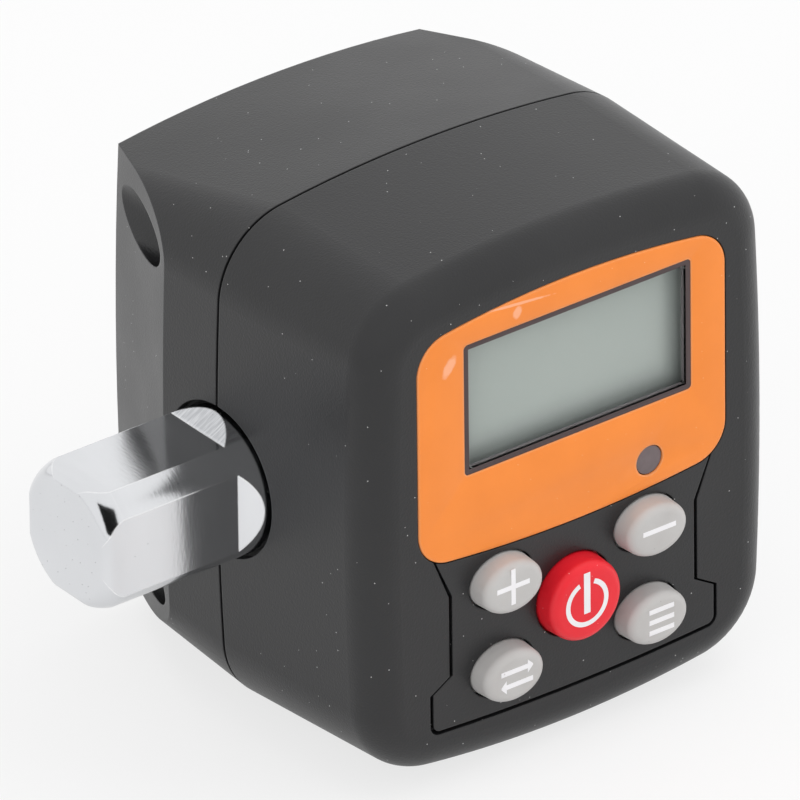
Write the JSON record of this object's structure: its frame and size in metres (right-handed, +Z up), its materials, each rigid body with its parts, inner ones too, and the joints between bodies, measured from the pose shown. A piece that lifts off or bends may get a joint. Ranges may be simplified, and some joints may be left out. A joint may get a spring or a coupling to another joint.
{
  "type": "digital torque adapter",
  "caption": "Compact digital torque gauge with a square drive shaft through a two-piece housing, an arched display label over round rubber keys, and a battery door at the back.",
  "frame": {"origin": "centre of the female square socket's mouth, on the drive axis", "axes": "+X along the drive axis out of the female socket, -Y towards the user out of the display, +Z up"},
  "size_m": [0.0699, 0.05, 0.0563],
  "materials": {
    "shell": "fine textured charcoal black",
    "shaft": "polished",
    "steel": "plain",
    "screw": "plated",
    "seal": "plain black",
    "label": "satin orange",
    "pane": "clear",
    "display": "pale grey green",
    "lamp": "smoky",
    "grey_key": "light grey moulded",
    "red_key": "bright red moulded",
    "inner_plastic": "plain",
    "board": "solder masked green",
    "gauge_foil": "amber film",
    "lead": "insulated wire",
    "contact": "plated spring brass"
  },
  "bodies": {
    "housing": {"front_shell": "shell", "rear_shell": "shell", "torque_shaft": "shaft", "male_side_seal": "seal", "female_side_seal": "seal", "detent_spring": "steel", "display_label": "label", "display_window": "pane", "lcd_glass": "display", "lcd_frame": "inner_plastic", "zebra_strips": "seal", "led_indicator": "lamp", "keypad_plate": "shell", "key_switches": "inner_plastic", "main_board": "board", "controller_chip": "inner_plastic", "amplifier_chip": "inner_plastic", "crystal_can": "steel", "piezo_buzzer": "inner_plastic", "strain_gauges": "gauge_foil", "gauge_leads": "lead", "battery_tray": "inner_plastic", "battery_cell": "steel", "positive_contact": "contact", "negative_contact": "contact", "battery_leads": "lead", "case_screws": "screw", "board_screws": "screw"},
    "key_plus": {"button_plus": "grey_key", "plunger_plus": "inner_plastic"},
    "key_minus": {"button_minus": "grey_key", "plunger_minus": "inner_plastic"},
    "key_power": {"button_power": "red_key", "plunger_power": "inner_plastic"},
    "key_units": {"button_units": "grey_key", "plunger_units": "inner_plastic"},
    "key_mode": {"button_mode": "grey_key", "plunger_mode": "inner_plastic"},
    "detent": {"detent_ball": "steel"},
    "door": {"battery_door": "shell", "battery_door_seal": "seal", "battery_door_screw": "screw"}
  },
  "joints": [
    {"name": "press_plus", "type": "slide", "parent": "housing", "child": "key_plus", "axis": [0, 1, 0], "range_m": [0, 0.0005], "stiffness_N_per_m": 1000, "springref_m": -0.0008},
    {"name": "press_minus", "type": "slide", "parent": "housing", "child": "key_minus", "axis": [0, 1, 0], "range_m": [0, 0.0005], "stiffness_N_per_m": 1000, "springref_m": -0.0008},
    {"name": "press_power", "type": "slide", "parent": "housing", "child": "key_power", "axis": [0, 1, 0], "range_m": [0, 0.0005], "stiffness_N_per_m": 1000, "springref_m": -0.0008},
    {"name": "press_units", "type": "slide", "parent": "housing", "child": "key_units", "axis": [0, 1, 0], "range_m": [0, 0.0005], "stiffness_N_per_m": 1000, "springref_m": -0.0008},
    {"name": "press_mode", "type": "slide", "parent": "housing", "child": "key_mode", "axis": [0, 1, 0], "range_m": [0, 0.0005], "stiffness_N_per_m": 1000, "springref_m": -0.0008},
    {"name": "detent_travel", "type": "slide", "parent": "housing", "child": "detent", "axis": [0, 0, 1], "range_m": [0, 0.0009], "stiffness_N_per_m": 2500, "springref_m": -0.001, "deforming": ["detent_spring"]},
    {"name": "door_lift", "type": "slide", "parent": "housing", "child": "door", "axis": [0, 1, 0], "range_m": [0, 0.012]}
  ]
}
